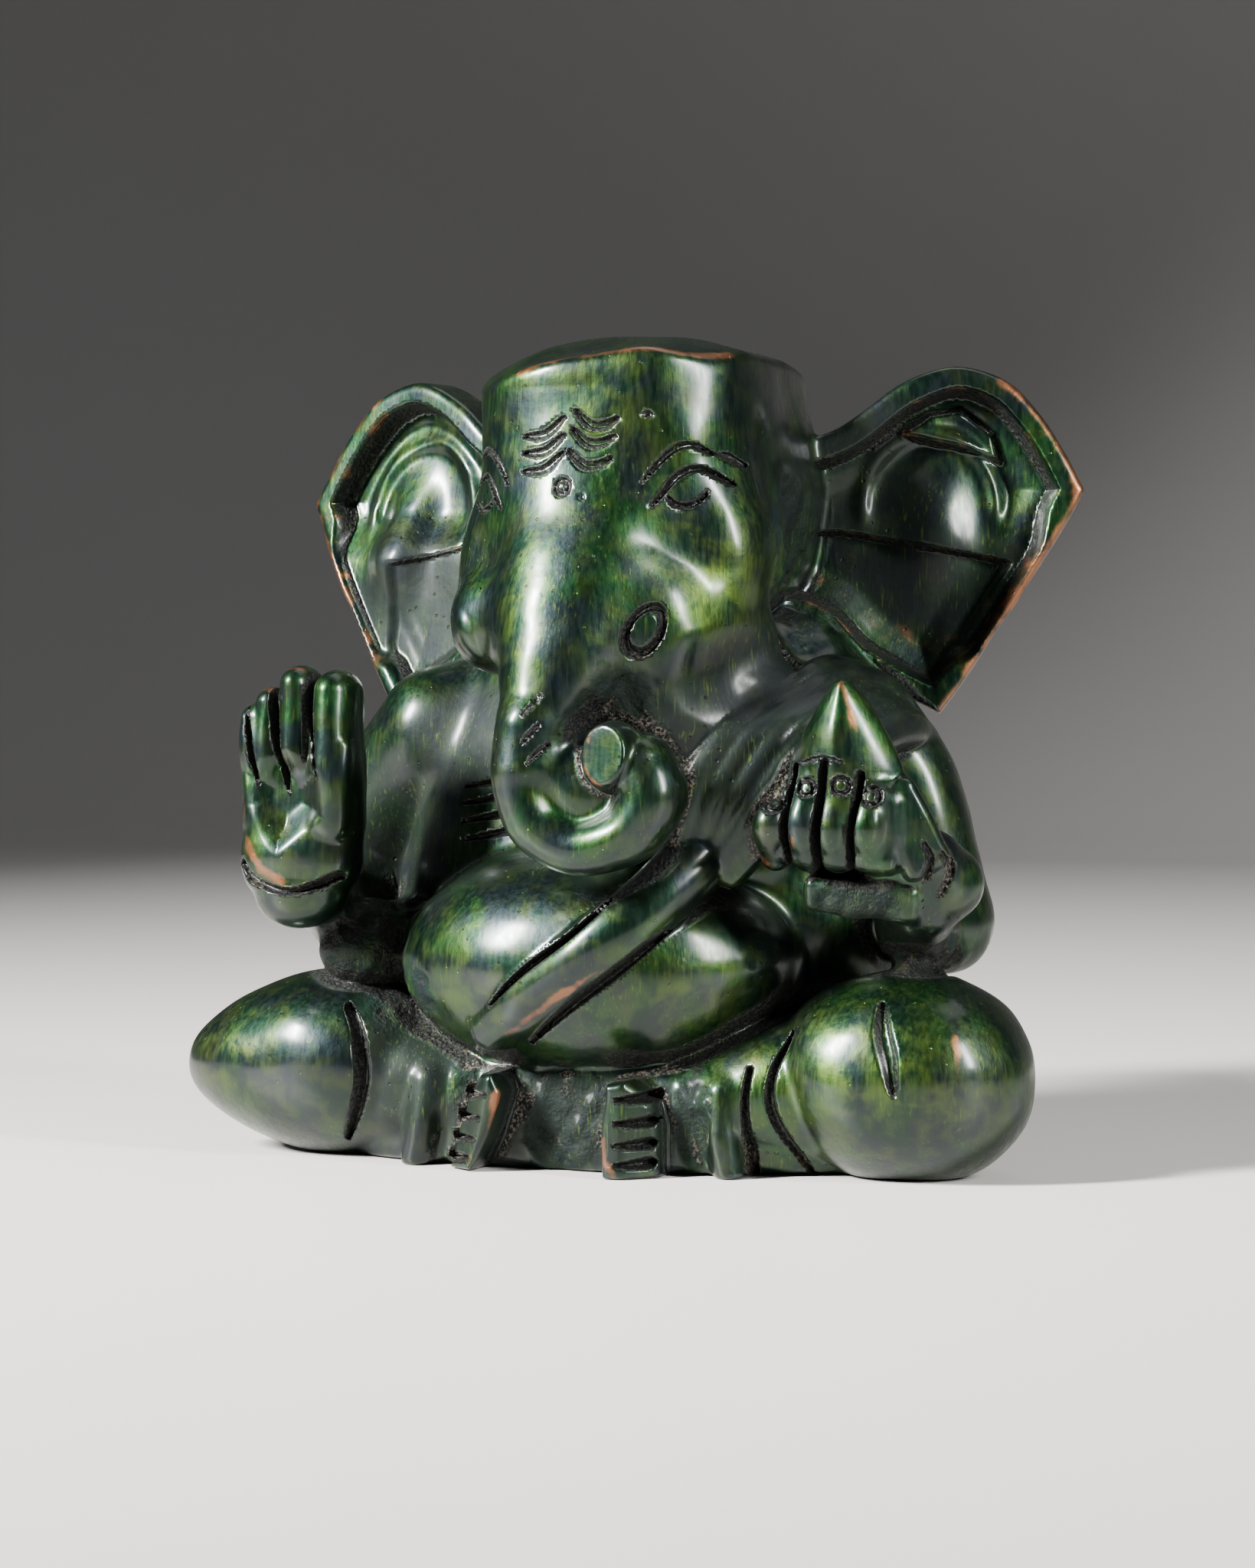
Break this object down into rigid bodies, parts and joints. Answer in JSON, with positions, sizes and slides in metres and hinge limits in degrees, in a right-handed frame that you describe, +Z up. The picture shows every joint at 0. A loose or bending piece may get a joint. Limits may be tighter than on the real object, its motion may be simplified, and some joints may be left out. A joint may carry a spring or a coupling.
{
  "type": "ganesha idol",
  "caption": "Seated elephant-headed devotional idol in cast brass with a green patina, one hand raised in blessing and the other holding a sweet.",
  "frame": {"origin": "centre of the bounding box, on the flat underside", "axes": "+Z up, the figure faces -Y, +X towards the figure's left hand"},
  "size_m": [0.124, 0.0714, 0.1162],
  "materials": {
    "green_patina": "polished brass under a dark green patina, worn to metal on the edges",
    "bright_patina": "green patina rubbed back to a yellower, glossier metal",
    "dark_patina": "unpolished cast skin, dark grey with brown dust in the recesses"
  },
  "bodies": {
    "root": {"trunk": "green_patina", "head": "green_patina", "belly": "green_patina", "right_foot": "green_patina", "left_foot": "green_patina", "right_leg": "green_patina", "left_leg": "green_patina", "right_hand": "green_patina", "left_hand": "green_patina", "right_forearm": "green_patina", "left_forearm": "green_patina", "right_upper_arm": "green_patina", "left_upper_arm": "green_patina", "torso": "green_patina", "right_ear": "green_patina", "left_ear": "green_patina", "right_tusk": "bright_patina", "left_tusk": "bright_patina", "sash": "bright_patina", "modak": "bright_patina", "right_pleat": "dark_patina", "left_pleat": "dark_patina", "right_bracelet": "dark_patina", "left_bracelet": "dark_patina", "shoulder_drape": "dark_patina", "throat": "dark_patina", "base_slab": "dark_patina"}
  },
  "joints": []
}
